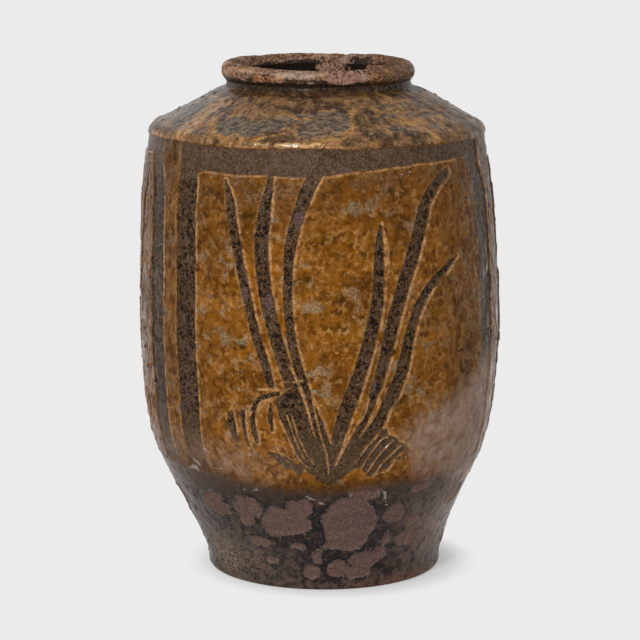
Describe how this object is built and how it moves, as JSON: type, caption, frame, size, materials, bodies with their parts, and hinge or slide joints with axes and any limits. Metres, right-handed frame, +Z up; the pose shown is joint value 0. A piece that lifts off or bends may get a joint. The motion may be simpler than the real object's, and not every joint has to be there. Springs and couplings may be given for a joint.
{
  "type": "storage jar",
  "caption": "Tall glazed stoneware storage jar with an angular shoulder, short neck, rolled lip and carved panels of reeds.",
  "frame": {"origin": "centre of the base on the surface that the jar stands on", "axes": "+Z up along the jar's axis; -Y is the front, the side with the panel that the picture shows"},
  "size_m": [0.297, 0.2967, 0.42],
  "materials": {
    "foot_clay": "matte purple-brown fired clay with glossy dark slip remains",
    "dark_slip": "semi-gloss dark brown slip, peeled in patches",
    "amber_glaze": "glossy mottled amber-brown glaze with carved dark reeds and bands",
    "shoulder_glaze": "glossy mottled brown and grey glaze",
    "lip_clay": "worn pink-brown clay with glaze remains",
    "inner_clay": "unglazed brown clay"
  },
  "bodies": {
    "root": {"base_slab": "foot_clay", "wall_course_1": "dark_slip", "wall_course_2": "amber_glaze", "wall_course_3": "amber_glaze", "wall_course_4": "amber_glaze", "wall_course_5": "amber_glaze", "wall_course_6": "amber_glaze", "wall_course_7": "amber_glaze", "shoulder_cone": "shoulder_glaze", "neck_collar": "shoulder_glaze", "rolled_lip": "lip_clay", "base_coil": "inner_clay", "shoulder_coil": "inner_clay"}
  },
  "joints": []
}
